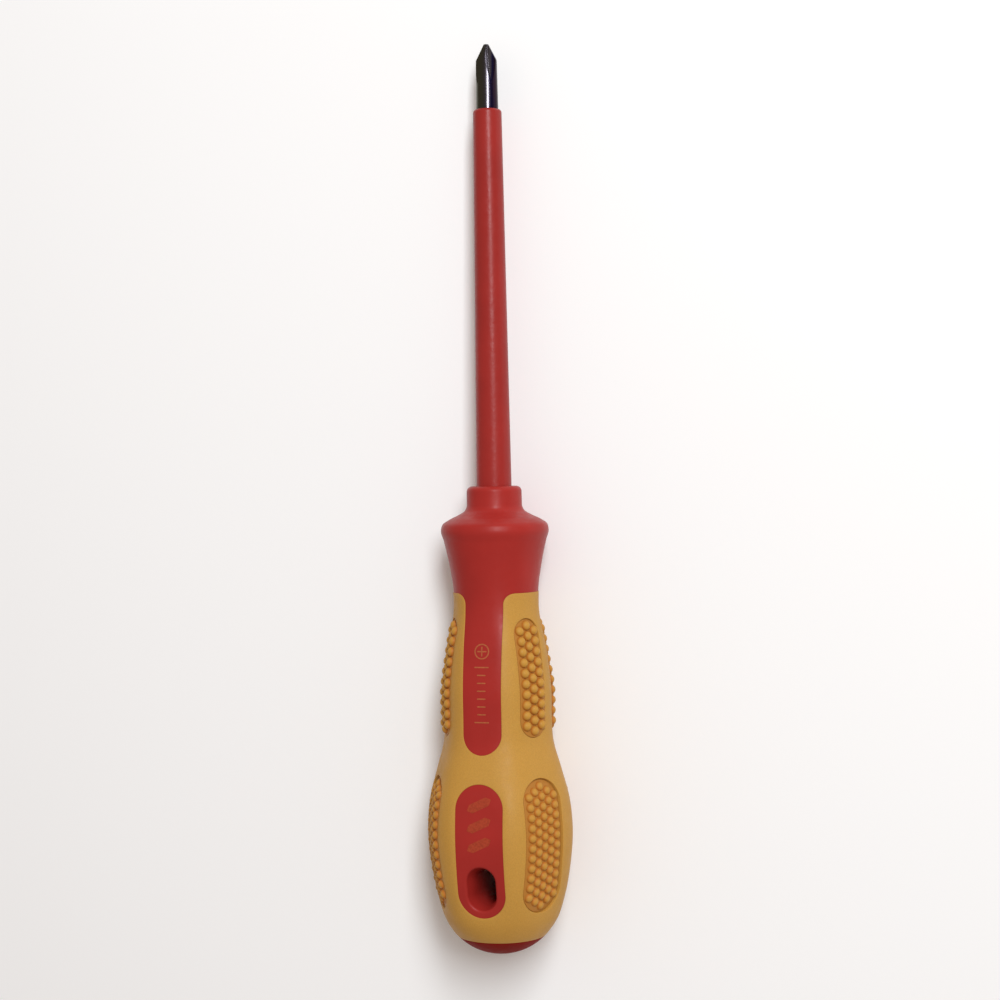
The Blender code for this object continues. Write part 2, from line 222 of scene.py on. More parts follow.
# painted light and shade on the pads: lighter on the beads' tops, darker and more orange in the valleys and
# on the floor between the beads
AMBER_TOP_LIT = (0.52, 0.265, 0.042)
AMBER_VALLEY_SHADE = (0.46, 0.142, 0.019)
PAD_FLOOR_SHADE = (0.43, 0.178, 0.029)
STRIP_INK = (0.41, 0.105, 0.04)
WINDOW_INK = (0.37, 0.05, 0.022)
CORE_DARK, CORE_LIGHT = (0.02, 0.02, 0.02), (0.035, 0.035, 0.035)
STEEL_SHEEN_STOPS = (  # (place, colour) round the bar, from one side to the other: painted reflections, olive on the first side and blue then purple on the far side, and a painted highlight band between them where the lamp's highlight falls
    (0.45, (0.064, 0.06, 0.042)),
    (0.64, (0.058, 0.05, 0.058)),
    (0.71, (0.115, 0.105, 0.12)),
    (0.77, (0.115, 0.105, 0.12)),
    (0.86, (0.016, 0.013, 0.065)),
    (0.98, (0.028, 0.015, 0.026)),
)

# Studio
VIEW_TURN = math.radians(18.3)  # how far round from the front the camera stands
VIEW_DISTANCE = 476.0
VIEW_HEIGHT = 110.7  # the camera's height along the tool
AIM_HEIGHT = 102.8
AIM_SIDE = 1.3
VIEW_ROLL = math.radians(-1.035)
LENS, SENSOR = 75.41, 36.0
KEY_TURN = math.radians(25.0)  # how far round from the front the lamp stands
KEY_DISTANCE, KEY_HEIGHT = 900.0, 505.0
KEY_AIM = 100.0
KEY_SIZE = (0.21, 0.6)
KEY_WATTS = 7.7
KEY_COLOR = (0.96, 1.0, 1.03)
WORLD_COLOR = (1.0, 0.89, 0.82, 1.0)
WORLD_STRENGTH = 0.42
FLOOR_COLOR = (0.97, 0.97, 0.97, 1.0)
FLOOR_HALF = 4.0  # metres


def smooth_step(low, high, value):
    """0 below low, 1 above high and an even S in between."""
    share = min(max((value - low) / (high - low), 0.0), 1.0)
    return share * share * (3.0 - 2.0 * share)


def smooth_curve(points, steps):
    """A smooth curve through the points, whose slope at each weighs its two spans by their length."""
    points = [Vector(point) for point in points]
    spans = [end - start for start, end in zip(points, points[1:])]
    slopes = []
    for before, after in zip(spans, spans[1:]):
        near, far = before.length, after.length
        slopes.append((before * far / near + after * near / far) / (near + far))
    slopes.insert(0, 2 * spans[0] / spans[0].length - slopes[0])
    slopes.append(2 * spans[-1] / spans[-1].length - slopes[-1])
    curve = []
    for start, span, leave, arrive in zip(points, spans, slopes, slopes[1:]):
        size = span.length
        for step in range(steps):
            t = step / steps
            curve.append(
                start
                + span * t * t * (3 - 2 * t)
                + leave * size * t * (1 - t) ** 2
                - arrive * size * t * t * (1 - t)
            )
    curve.append(points[-1])
    return [tuple(point) for point in curve]


def handle_outline(steps):
    """(height, radius) along the handle's skin: the grown body, then the collar with its rounded edge."""
    outline = smooth_curve(HANDLE_STATIONS, steps)
    middle = COLLAR_RADIUS - COLLAR_EDGE
    for step in range(steps + 1):
        angle = QUARTER * step / steps
        height = COLLAR_TOP - COLLAR_EDGE + COLLAR_EDGE * math.sin(angle)
        outline.append((height, middle + COLLAR_EDGE * math.cos(angle)))
    return outline


OUTLINE = handle_outline(10)
OUTLINE_HEIGHTS = [height for height, _ in OUTLINE]


def handle_radius(height):
    """Radius of the handle's skin at this height, before the hexagon."""
    after = min(max(bisect.bisect_left(OUTLINE_HEIGHTS, height), 1), len(OUTLINE) - 1)
    (low, low_radius), (high, high_radius) = OUTLINE[after - 1], OUTLINE[after]
    share = min(max((height - low) / (high - low), 0.0), 1.0)
    return low_radius + share * (high_radius - low_radius)


def hexagon_radius(angle, height):
    """Radius of the skin at this angle from the front and this height, before the flats."""
    hexagon = smooth_step(HEX_START, HEX_FULL, height) - smooth_step(HEX_FADE, HEX_END, height)
    return handle_radius(height) * (1 + HEX_DEPTH * hexagon * math.cos(6 * (angle - HEX_RIDGE)))


def skin_radius(angle, height):
    """Radius of the handle's skin: the soft hexagon, cut flat across the windows."""
    radius = hexagon_radius(angle, height)
    flat = smooth_step(FLAT_START, FLAT_FULL, height) - smooth_step(FLAT_FADE, FLAT_END, height)
    if flat == 0:
        return radius
    facing = abs(math.cos(math.remainder(angle, math.pi)))
    flat_radius = hexagon_radius(FLAT_HALF_ANGLE, height) * math.cos(FLAT_HALF_ANGLE)
    above = radius - flat_radius / max(facing, 0.5)
    return radius - flat * (above + math.hypot(above, FLAT_BLEND)) / 2


def skin_point(angle, height, inset):
    """A point this far under the skin: square to it, but straight in to the axis near the butt."""
    reach = 0.25
    radius = skin_radius(angle, height)
    slope = (skin_radius(angle, height + reach) - skin_radius(angle, height - reach)) / (2 * reach)
    turn = 0.01
    swing = (skin_radius(angle + turn, height) - skin_radius(angle - turn, height)) / (2 * turn)
    slope *= smooth_step(STRAIGHT_END, SQUARE_START, height)
    radial = Vector((math.cos(angle), math.sin(angle), 0.0))
    around = Vector((-math.sin(angle), math.cos(angle), 0.0))
    normal = (radial - around * swing / radius - Vector((0.0, 0.0, slope))).normalized()
    return radial * radius + Vector((0.0, 0.0, height)) - normal * inset


def skin_angle(across, height, facing=0.0):
    """Angle of the skin's point this far across the plane that faces this way."""
    angle = facing
    for _ in range(4):
        angle = facing + math.asin(across / skin_radius(angle, height))
    return angle


def arc(centre, radius, start, end):
    """Points along an arc, (across, height), EDGE_STEP apart or closer."""
    steps = max(ARC_STEPS, math.ceil(abs(end - start) * radius / EDGE_STEP))
    return [
        (
            centre[0] + radius * math.cos(start + (end - start) * step / steps),
            centre[1] + radius * math.sin(start + (end - start) * step / steps),
        )
        for step in range(steps + 1)
    ]


def line(start, end):
    """Points between two ends, EDGE_STEP apart or closer, without the ends."""
    steps = math.ceil(math.dist(start, end) / EDGE_STEP)
    return [
        tuple(a + (b - a) * step / steps for a, b in zip(start, end)) for step in range(1, steps)
    ]


def capsule_loop(bottom, top, width):
    """Closed outline of an upright slot with round ends."""
    radius = width / 2
    upper = arc((0.0, top - radius), radius, 0.0, math.pi)
    lower = arc((0.0, bottom + radius), radius, math.pi, math.tau)
    return [*upper, *line(upper[-1], lower[0]), *lower, *line(lower[-1], upper[0]), upper[0]]


def capsule_distance(across, height, bottom, top, width):
    """How far outside the slot's outline the point is; negative inside."""
    radius = width / 2
    nearest = min(max(height, bottom + radius), top - radius)
    return math.hypot(across, height - nearest) - radius


def on_skin(path, inset, facing=0.0):
    """A path across a plane, carried to the skin: (angle, height, inset) points."""
    return [(skin_angle(across, height, facing), height, inset) for across, height in path]


def strip_path(offset):
    """Right half of the strip's edge, moved into the yellow: from the grip's top edge to the front."""
    radius = STRIP_WIDTH / 2 + offset
    centre = (STRIP_WIDTH / 2 + STRIP_CORNER, GRIP_TOP - STRIP_CORNER)
    corner = arc(centre, STRIP_CORNER - offset, QUARTER, math.pi)
    end = arc((0.0, STRIP_BOTTOM + STRIP_WIDTH / 2), radius, 0.0, -QUARTER)
    return [*corner, *line(corner[-1], end[0]), *end[:-1], (0.0, STRIP_BOTTOM - offset)]


def strip_distance(across, height):
    """How far outside the strip the point is; negative inside."""
    across = abs(across)
    centre = (STRIP_WIDTH / 2 + STRIP_CORNER, GRIP_TOP - STRIP_CORNER)
    if height > centre[1] and across < centre[0]:
        return STRIP_CORNER - math.dist((across, height), centre)
    if height > centre[1]:
        return GRIP_TOP - height
    side = capsule_distance(across, height, STRIP_BOTTOM, 2 * GRIP_TOP, STRIP_WIDTH)
    return min(side, GRIP_TOP - height)


def slot_path(bottom, top, width, offset):
    """Right half of an upright slot's edge, moved outward, from top to bottom."""
    radius = width / 2 + offset
    upper = arc((0.0, top - width / 2), radius, QUARTER, 0.0)
    lower = arc((0.0, bottom + width / 2), radius, 0.0, -QUARTER)
    upper[0] = (0.0, top + offset)
    lower[-1] = (0.0, bottom - offset)
    return [*upper, *line(upper[-1], lower[0]), *lower]


def window_path(offset):
    """Right half of the window's edge, moved into the yellow."""
    return slot_path(WINDOW_BOTTOM, WINDOW_TOP, WINDOW_WIDTH, offset)


def level_path(height, past=-1.0):
    """A level line round a quarter of the skin past an angle, as (angle, height)."""
    angles = [QUARTER * column / QUARTER_COLUMNS for column in range(QUARTER_COLUMNS + 1)]
    return [(angle, height) for angle in angles if angle > past]


def yellow_distance(angle, height):
    """How far inside the yellow grip the point of the front quarter is; negative in the red."""
    across = skin_radius(angle, height) * math.sin(min(angle, QUARTER))
    window = capsule_distance(across, height, WINDOW_BOTTOM, WINDOW_TOP, WINDOW_WIDTH)
    return min(strip_distance(across, height), window, height - CAP_TOP, GRIP_TOP - height)


def pad_distance(angle, height, row):
    """How far outside the outline of the quarter's pad of this row the point is."""
    size = PAD_ROWS[row]
    turned = angle - size["angle"]
    across = skin_radius(angle, height) * math.sin(turned)
    return capsule_distance(across, height, size["bottom"], size["top"], size["width"])


def hole_distance(angle, height):
    """How far outside the hanging hole's edge the point is; negative inside."""
    across = skin_radius(angle, height) * math.sin(angle)
    return capsule_distance(across, height, HOLE_BOTTOM, HOLE_TOP, HOLE_WIDTH)


def lip_rings(radius, steps=4):
    """(offset, inset) pairs down a rounded edge, from the skin to the wall."""
    rings = []
    for step in range(steps + 1):
        angle = QUARTER * step / steps
        rings.append((radius * (1 - math.sin(angle)), radius * (1 - math.cos(angle))))
    return rings


class Sheet:
    """Points (angle, height, inset) of a piece of skin laid flat, with the lines its faces follow."""

    def __init__(self):
        self.points = []
        self.edges = []

    def add_path(self, path):
        """Adds points, with an edge from each to the next."""
        start = len(self.points)
        self.points.extend(path)
        self.edges.extend((start + step, start + step + 1) for step in range(len(path) - 1))

    def fill(self, bottom, top, inset_at, clear):
        """Adds an even grid over a quarter of the skin, where clear(angle, height) says."""
        rows = round((top - bottom) / FILL_STEP)
        for row in range(rows + 1):
            height = bottom + (top - bottom) * row / rows
            for column in range(QUARTER_COLUMNS + 1):
                angle = QUARTER * column / QUARTER_COLUMNS
                if clear(angle, height):
                    self.points.append((angle, height, inset_at(angle, height)))

    def triangles(self, keep):
        """Replaces the points by those in use, and returns the triangles that keep() accepts."""
        flat = [Vector((angle * FLAT_RADIUS, height)) for angle, height, _ in self.points]
        result = geometry.delaunay_2d_cdt(flat, self.edges, [], 0, FLAT_MERGE)
        spots, _, faces, sources, _, _ = result
        self.points = [self.points[source[0]] for source in sources]
        kept = []
        for face in faces:
            middle = sum((spots[corner] for corner in face), Vector((0.0, 0.0))) / len(face)
            if keep(middle[0] / FLAT_RADIUS, middle[1]):
                kept.append(face)
        return kept


def mirrored(sheet, triangles):
    """The quarter sheet copied to the other three quarters, with its seams closed."""
    welded, points, faces = {}, [], []
    for front in (1, -1):
        for side in (1, -1):
            numbers = []
            for angle, height, inset in sheet.points:
                turned = side * (angle if front == 1 else math.pi - angle)
                key = (round(math.cos(turned), 6), round(math.sin(turned), 6), round(height, 5), inset)
                if key not in welded:
                    welded[key] = len(points)
                    points.append((turned, height, inset))
                numbers.append(welded[key])
            for face in triangles:
                corners = [numbers[corner] for corner in face]
                faces.append(corners if front * side == 1 else corners[::-1])
    return points, faces


def open_edges(faces):
    """Directed edges that only one face uses."""
    seen = {}
    for face in faces:
        for start, end in zip(face, [*face[1:], face[0]]):
            seen[(start, end)] = True
    return [(start, end) for start, end in seen if (end, start) not in seen]


def ring(height, radius):
    """A level ring of points round the axis."""
    angles = [math.tau * index / SEGMENTS for index in range(SEGMENTS)]
    return [(radius * math.cos(angle), radius * math.sin(angle), height) for angle in angles]


def skin_ring(height, inset):
    """A level ring of points on the skin, or this far under it."""
    return [skin_point(math.tau * index / SEGMENTS, height, inset) for index in range(SEGMENTS)]


def ring_faces(rings, start=0, ends=(False, False)):
    """Faces over rings of points, with n-sided faces over the ends that are asked for."""
    count = len(rings[0])
    faces = []
    for low in range(len(rings) - 1):
        for index in range(count):
            after = (index + 1) % count
            corner, next_corner = start + low * count + index, start + low * count + after
            faces.append((corner, next_corner, next_corner + count, corner + count))
    if ends[0]:
        faces.append(tuple(start + index for index in reversed(range(count))))
    if ends[1]:
        last = start + (len(rings) - 1) * count
        faces.append(tuple(last + index for index in range(count)))
    return faces


def to_object(name, points, faces, node, material, weld=True):
    """A closed piece in the tool's frame that rides on the body and stands for its CAD node."""
    mesh = bpy.data.meshes.new(name)
    mesh.from_pydata([Vector(point) * MM for point in points], [], [tuple(f) for f in faces])
    work = bmesh.new()
    work.from_mesh(mesh)
    if weld:
        bmesh.ops.remove_doubles(work, verts=work.verts, dist=WELD * MM)
    bmesh.ops.recalc_face_normals(work, faces=work.faces)
    work.to_mesh(mesh)
    work.free()
    mesh.shade_smooth()
    mesh.set_sharp_from_angle(angle=SHARP)
    mesh.materials.append(material)
    piece = bpy.data.objects.new(name, mesh)
    bpy.context.scene.collection.objects.link(piece)
    piece.matrix_world = TOOL
    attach(piece, "root")
    if node:
        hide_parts(node)
    return piece


def grip_sheet():
    """The yellow grip's outer face over one quarter, with rounded lips and sunk beds for the pads."""
    sheet = Sheet()
    rings = [*((offset, 0.0) for offset in EDGE_ROWS), *lip_rings(GRIP_LIP)]
    for offset, inset in rings:
        strip = on_skin(strip_path(offset), inset)
        top = [(*point, inset) for point in level_path(GRIP_TOP - offset, strip[0][0] + 0.01)]
        sheet.add_path([*reversed(top), *strip])
        sheet.add_path(on_skin(window_path(offset), inset))
        sheet.add_path([(*point, inset) for point in level_path(CAP_TOP + offset)])
    for size in PAD_ROWS.values():
        for offset, inset in [*rings, (-FIT, PAD_RECESS)]:
            loop = capsule_loop(size["bottom"] - offset, size["top"] + offset, size["width"] + 2 * offset)
            sheet.add_path(on_skin(loop, inset, size["angle"]))

    def pad_gap(angle, height):
        return min(pad_distance(angle, height, row) for row in PAD_ROWS)

    def clear(angle, height):
        gap = pad_gap(angle, height)
        return yellow_distance(angle, height) > GRID_GAP and (gap > GRID_GAP or gap < -BED_GAP)

    def inset_at(angle, height):
        return PAD_RECESS if pad_gap(angle, height) < 0 else 0.0

    sheet.fill(CAP_TOP, GRIP_TOP, inset_at, clear)
    return sheet


def make_grip(material):
    """Yellow grip: the outer face, the same face sunk by the wall, and walls along every edge."""
    sheet = grip_sheet()
    triangles = sheet.triangles(lambda angle, height: yellow_distance(angle, height) > 0)
    outer, faces = mirrored(sheet, triangles)
    count = len(outer)
    points = [skin_point(*point) for point in outer]
    points += [skin_point(angle, height, GRIP_WALL) for angle, height, _ in outer]
    walls = [(end, start, start + count, end + count) for start, end in open_edges(faces)]
    under = [[corner + count for corner in reversed(face)] for face in faces]
    to_object(
        "grip_yellow_shell", points, [*faces, *under, *walls], "soft_grip", material
    )


def red_inset(height):
    """How far the red body's shown faces lie under the skin: flush again above the neck."""
    return STRIP_SUNK * (1 - smooth_step(GRIP_TOP + FLUSH_START, GRIP_TOP + FLUSH_END, height))


def body_sheet():
    """The red body's outer face over one quarter, sunk by the grip's wall where the grip covers it."""
    sheet = Sheet()
    covered = GRIP_WALL + FIT
    for offset, deep in BODY_ROWS:
        strip = [
            (angle, height, covered if deep else red_inset(height))
            for angle, height, _ in on_skin(strip_path(offset), 0.0)
        ]
        edge = GRIP_TOP - offset
        inset = covered if deep else red_inset(edge)
        top = [(*point, inset) for point in level_path(edge, strip[0][0] + 0.01)]
        sheet.add_path([*reversed(top), *strip])
        if (offset, deep) != BODY_ROWS[0]:  # the first row would touch the hole's rim in the window
            inset = covered if deep else STRIP_SUNK
            sheet.add_path(on_skin(window_path(offset), inset))
    for offset, inset in lip_rings(RIM, RIM_STEPS):
        path = slot_path(HOLE_BOTTOM, HOLE_TOP, HOLE_WIDTH, offset)
        sheet.add_path(on_skin(path, inset + STRIP_SUNK))

    def clear(angle, height):
        level = height in (BODY_BOTTOM, BODY_JOIN)
        yellow = yellow_distance(angle, height)
        away = yellow < -RED_GAP or yellow > COVERED_GAP
        return level or (away and hole_distance(angle, height) > HOLE_GAP)

    def inset_at(angle, height):
        return covered if yellow_distance(angle, height) > 0 else red_inset(height)

    sheet.fill(BODY_BOTTOM, BODY_JOIN, inset_at, clear)
    return sheet


def tunnel_line(start):
    """Points down the hole's wall from a point of the front rim to the back one, flared at both ends."""
    x, y, z = start
    radius = HOLE_WIDTH / 2
    middle = min(max(z, HOLE_BOTTOM + radius), HOLE_TOP - radius)
    points = []
    for step in range(TUNNEL_STEPS + 1):
        place = x * math.cos(math.pi * step / TUNNEL_STEPS)
        depth = min((x - abs(place)) / FLARE_DEPTH, 1.0)
        narrow = 1 - HOLE_FLARE / radius * (1 - (1 - depth) ** 2)
        points.append(Vector((place, y * narrow, middle + (z - middle) * narrow)))
    return points


def make_body(material):
    """Red body: outer face, collar, bores for sleeve and core, and the hanging hole right through."""
    sheet = body_sheet()
    triangles = sheet.triangles(lambda angle, height: hole_distance(angle, height) > 0)
    outer, faces = mirrored(sheet, triangles)
    points = [skin_point(*point) for point in outer]
    tunnels = {}
    for start, end in open_edges(faces):
        at_hole = HOLE_BOTTOM - RIM < outer[start][1] < HOLE_TOP + RIM
        if not at_hole or points[start].x < 0:
            continue
        for corner in (start, end):
            if corner not in tunnels:
                tunnels[corner] = len(points)
                points += tunnel_line(points[corner])
        a, b = tunnels[start], tunnels[end]
        faces += [(b + step, a + step, a + step + 1, b + step + 1) for step in range(TUNNEL_STEPS)]
    bore, pocket = SLEEVE_RADIUS + FIT, CORE_RADIUS + FIT
    upper = [
        skin_ring(height, red_inset(height))
        for height in [BODY_JOIN, *(h for h in OUTLINE_HEIGHTS if h > BODY_JOIN + RING_GAP)]
    ]
    upper += [
        ring(COLLAR_TOP, bore),
        ring(CORE_TOP + FIT, bore),
        ring(CORE_TOP + FIT, pocket),
        ring(CORE_BOTTOM - FIT, pocket),
    ]
    socket = SPIGOT_RADIUS + FIT
    lower = [
        skin_ring(BODY_BOTTOM, GRIP_WALL + FIT),
        ring(BODY_BOTTOM, socket),
        ring(CAP_TOP + SPIGOT_HEIGHT + FIT, socket),
    ]
    for rings in (upper, lower):
        faces += ring_faces(rings, len(points), (False, True))
        points += [point for each in rings for point in each]
    to_object("body_red_shell", points, faces, "handle_body", material)


def bead_places(size):
    """(across, height) of each bead: columns side by side, each half a pitch off its neighbours."""
    half = size["columns"] // 2
    middle = (size["bottom"] + size["top"]) / 2
    for column in range(-half, half + 1):
        beads = size["middle_beads"] - abs(column)
        for bead in range(beads):
            yield column * size["column_pitch"], middle + (bead - (beads - 1) / 2) * size["pitch"]


def pad_floor(size, across, height):
    """How deep the pad's floor lies under the skin: nearly level with it along the front edge."""
    half = size["width"] / 2
    outward = max(smooth_step(-half, half / 2, across), FRONT_SHARE)
    end = smooth_step(size["top"] - PAD_END_START, size["top"] - PAD_END_FULL, height)
    lift = size["lift"] * (1 - smooth_step(LIFT_FULL, LIFT_START, height))
    return (size["base"] - lift) * max(outward, end)


def pad_sheet(size):
    """A pad's face laid flat: (across, height, depth) points with a set of rings round each bead."""
    points, edges = [], []

    def add_loop(path):
        start = len(points)
        points.extend(path)
        edges.extend((start + step, start + (step + 1) % len(path)) for step in range(len(path)))

    for offset, depth in PAD_LIP:
        shrink = PAD_FIT + offset
        loop = capsule_loop(size["bottom"] + shrink, size["top"] - shrink, size["width"] - 2 * shrink)
        add_loop([(*point, depth) for point in loop[:-1]])
    for across, height in bead_places(size):
        points.append((across, height, -size["bead_centre"] - size["bead"]))
        rings = []
        equator = math.acos(min(max(-size["bead_centre"] / size["bead"], 0.0), 1.0))
        for step in range(1, BEAD_ROUNDS + 1):
            angle = equator * step / BEAD_ROUNDS
            radius = size["bead"] * math.sin(angle)
            rings.append((radius, -size["bead_centre"] - size["bead"] * math.cos(angle)))
        rings.append((rings[-1][0] + BEAD_FOOT, 0.0))
        for radius, depth in rings:
            loop = []
            for side in range(BEAD_SIDES):
                angle = math.tau * side / BEAD_SIDES
                loop.append((across + radius * math.cos(angle), height + radius * math.sin(angle), depth))
            add_loop(loop)
    return points, edges


def pad_mesh(size):
    """Points and faces of the pad in the front right quarter, and how high each point stands."""
    flat_points, edges = pad_sheet(size)
    flat = [Vector(point[:2]) for point in flat_points]
    _, _, faces, sources, _, _ = geometry.delaunay_2d_cdt(flat, edges, [], 0, FLAT_MERGE)
    used = [flat_points[source[0]] for source in sources]
    faces = [list(face) for face in faces]
    count = len(used)
    points, rises = [], []
    for across, height, depth in used:
        inset = pad_floor(size, across, height) + depth
        points.append(skin_point(skin_angle(across, height, size["angle"]), height, inset))
        rises.append(min(max(-depth / size["bead"], 0.0), 1.0))
    for across, height, _ in used:
        angle = skin_angle(across, height, size["angle"])
        points.append(skin_point(angle, height, PAD_RECESS - FIT))
        rises.append(0.0)
    walls = [(end, start, start + count, end + count) for start, end in open_edges(faces)]
    under = [[corner + count for corner in reversed(face)] for face in faces]
    return points, [*faces, *under, *walls], rises


def make_pads(material):
    """Eight dotted pads: one of each row is worked out, and mirrored to the other three quarters."""
    for row, size in PAD_ROWS.items():
        points, faces, rises = pad_mesh(size)
        for side, x_sign, y_sign in (
            ("front_right", 1, 1),
            ("front_left", 1, -1),
            ("back_right", -1, 1),
            ("back_left", -1, -1),
        ):
            placed = [(x * x_sign, y * y_sign, z) for x, y, z in points]
            node = f"{row}_pad_{side}"
            piece = to_object(f"{node}_beads", placed, faces, node, material, weld=False)
            # the heights set the painted shade in the pads' valleys and floor and the painted light on the
            # beads' tops
            rise = piece.data.attributes.new("rise", "FLOAT", "POINT")
            rise.data.foreach_set("value", rises)


def make_end_cap(material):
    """Red end cap: the butt's round end with a spigot up into the body."""
    edge = CAP_TOP - FIT
    heights = [height for height in OUTLINE_HEIGHTS if height < edge - CAP_LIP_ROOM]
    rings = [ring(height, handle_radius(height)) for height in heights]
    for offset, inset in lip_rings(CAP_LIP):
        height = edge - offset
        rings.append(ring(height, handle_radius(height) - inset))
    top = CAP_TOP + SPIGOT_HEIGHT
    rings += [ring(edge, SPIGOT_RADIUS), ring(top, SPIGOT_RADIUS)]
    points = [point for each in rings for point in each]
    to_object(
        "end_cap_red", points, ring_faces(rings, 0, (True, True)), "end_cap", material
    )


def make_sleeve(material):
    """Red insulating tube with its moulding draft and a rounded mouth."""
    bore = SHANK_RADIUS + FIT
    edge_middle = SLEEVE_TIP_RADIUS - SLEEVE_EDGE
    rings = [ring(CORE_TOP + 2 * FIT, bore), ring(CORE_TOP + 2 * FIT, SLEEVE_RADIUS)]
    for step in range(DRAFT_STEPS + 1):
        share = step / DRAFT_STEPS
        height = COLLAR_TOP + (SLEEVE_TOP - SLEEVE_EDGE - COLLAR_TOP) * share
        radius = SLEEVE_RADIUS + (SLEEVE_TIP_RADIUS - SLEEVE_RADIUS) * share
        rings.append(ring(height, radius))
    for step in range(1, MOUTH_STEPS + 1):
        angle = QUARTER * step / MOUTH_STEPS
        height = SLEEVE_TOP - SLEEVE_EDGE + SLEEVE_EDGE * math.sin(angle)
        rings.append(ring(height, edge_middle + SLEEVE_EDGE * math.cos(angle)))
    rings += [ring(SLEEVE_TOP, bore), rings[0]]
    points = [point for each in rings for point in each]
    to_object(
        "sleeve_red_tube", points, ring_faces(rings), "blade_sleeve", material
    )


def flute_rings(angle):
    """V-shaped cutter with a rounded root that climbs out of the blade on a parabola."""
    turn = Matrix.Rotation(angle, 3, "Z")
    rings = []
    for ring_step in range(FLUTE_STEPS + 1):
        share = 1 + FLUTE_OVERRUN - (1 + 2 * FLUTE_OVERRUN) * ring_step / FLUTE_STEPS
        height = TIP - share * FLUTE_LENGTH
        root = FLUTE_ROOT + (SHANK_RADIUS - FLUTE_ROOT) * max(share, 0.0) ** 2
        spread = FLUTE_REACH * math.tan(FLUTE_HALF_ANGLE)
        corners = [(root + FLUTE_REACH, -spread), (root + FLUTE_REACH, spread)]
        centre = root + ROOT_RADIUS / math.sin(FLUTE_HALF_ANGLE) - ROOT_RADIUS * ROOT_SINK
        open_angle = QUARTER - FLUTE_HALF_ANGLE
        for step in range(ROOT_STEPS + 1):
            swing = open_angle - 2 * open_angle * step / ROOT_STEPS
            corners.append((centre - ROOT_RADIUS * math.cos(swing), ROOT_RADIUS * math.sin(swing)))
        rings.append([turn @ Vector((x, y, height)) for x, y in corners])
    return rings


def cutter_object(name, rings):
    """A closed cutter in the tool's frame."""
    points = [point for each in rings for point in each]
    mesh = bpy.data.meshes.new(name)
    mesh.from_pydata([point * MM for point in points], [], ring_faces(rings, 0, (True, True)))
    cutter = bpy.data.objects.new(name, mesh)
    bpy.context.scene.collection.objects.link(cutter)
    cutter.matrix_world = TOOL
    return cutter


def make_blade(material):
    """Steel blade: fine turned bar with four flutes cut into its cross tip."""
    cone_bottom = TIP - (NOSE_RADIUS - TIP_RADIUS) / math.tan(TIP_HALF_ANGLE)
    outline = [(TANG_BOTTOM, SHANK_RADIUS), (SLEEVE_TOP, SHANK_RADIUS)]
    outline += [(cone_bottom + rise, NOSE_RADIUS + grow) for rise, grow in CONE_EDGE]
    outline += [(TIP + rise, TIP_RADIUS + grow) for rise, grow in TIP_EDGE]
    rings = [ring(height, radius) for height, radius in outline]
    points = [point for each in rings for point in each]
    blade = to_object(
        "blade_polished", points, ring_faces(rings, 0, (True, True)), "blade", material
    )
    cutters = []
    for flute in range(4):
        name = f"flute_cutter_{flute + 1}"
        cutter = cutter_object(name, flute_rings(QUARTER / 2 + QUARTER * flute))
        cutters.append(cutter)
        cut = blade.modifiers.new(name, "BOOLEAN")
        cut.operation = "DIFFERENCE"
        cut.object = cutter
    bpy.context.view_layer.update()
    cut_blade = blade.evaluated_get(bpy.context.evaluated_depsgraph_get())
    solid = bpy.data.meshes.new_from_object(cut_blade)
    blade.modifiers.clear()
    blade.data = solid
    solid.set_sharp_from_angle(angle=SHARP_STEEL)
    for cutter in cutters:
        bpy.data.objects.remove(cutter)


def new_material(name):
    """A material with its node tree and shader."""
    material = bpy.data.materials.new(name)
    material.use_nodes = True
    tree = material.node_tree
    return material, tree, tree.nodes["Principled BSDF"]


def add_noise(tree, scale, detail, stretch=(1.0, 1.0, 1.0)):
    """Noise in the piece's own coordinates, which are metres along the tool."""
    place = tree.nodes.new("ShaderNodeTexCoord")
    mapping = tree.nodes.new("ShaderNodeMapping")
    mapping.inputs["Scale"].default_value = stretch
    noise = tree.nodes.new("ShaderNodeTexNoise")
    noise.inputs["Scale"].default_value = scale
    noise.inputs["Detail"].default_value = detail
    tree.links.new(place.outputs["Object"], mapping.inputs["Vector"])
    tree.links.new(mapping.outputs["Vector"], noise.inputs["Vector"])
    return noise.outputs["Fac"]


def add_ramp(tree, source, stops):
    """Colour ramp from (position, colour) stops."""
    ramp = tree.nodes.new("ShaderNodeValToRGB")
    elements = ramp.color_ramp.elements
    while len(elements) < len(stops):
        elements.new(0.5)
    for element, (position, color) in zip(elements, stops):
        element.position = position
        element.color = (*color, 1.0)
    tree.links.new(source, ramp.inputs["Fac"])
    return ramp.outputs["Color"]


def add_range(tree, source, low, high, source_low=0.3, source_high=0.7):
    """The source's usual span carried to another."""
    carry = tree.nodes.new("ShaderNodeMapRange")
    carry.inputs["From Min"].default_value = source_low
    carry.inputs["From Max"].default_value = source_high
    carry.inputs["To Min"].default_value = low
    carry.inputs["To Max"].default_value = high
    tree.links.new(source, carry.inputs["Value"])
    return carry.outputs["Result"]


def add_bump(tree, shader, layers):
    """Bumps laid over each other: (height source, strength, distance in metres)."""
    below = None
    for source, strength, distance in layers:
        bump = tree.nodes.new("ShaderNodeBump")
        bump.inputs["Strength"].default_value = strength
        bump.inputs["Distance"].default_value = distance
        tree.links.new(source, bump.inputs["Height"])
        if below:
            tree.links.new(below.outputs["Normal"], bump.inputs["Normal"])
        below = bump
    tree.links.new(below.outputs["Normal"], shader.inputs["Normal"])


def shade(color, factor):
    """The colour made lighter or darker."""
    return tuple(channel * factor for channel in color)


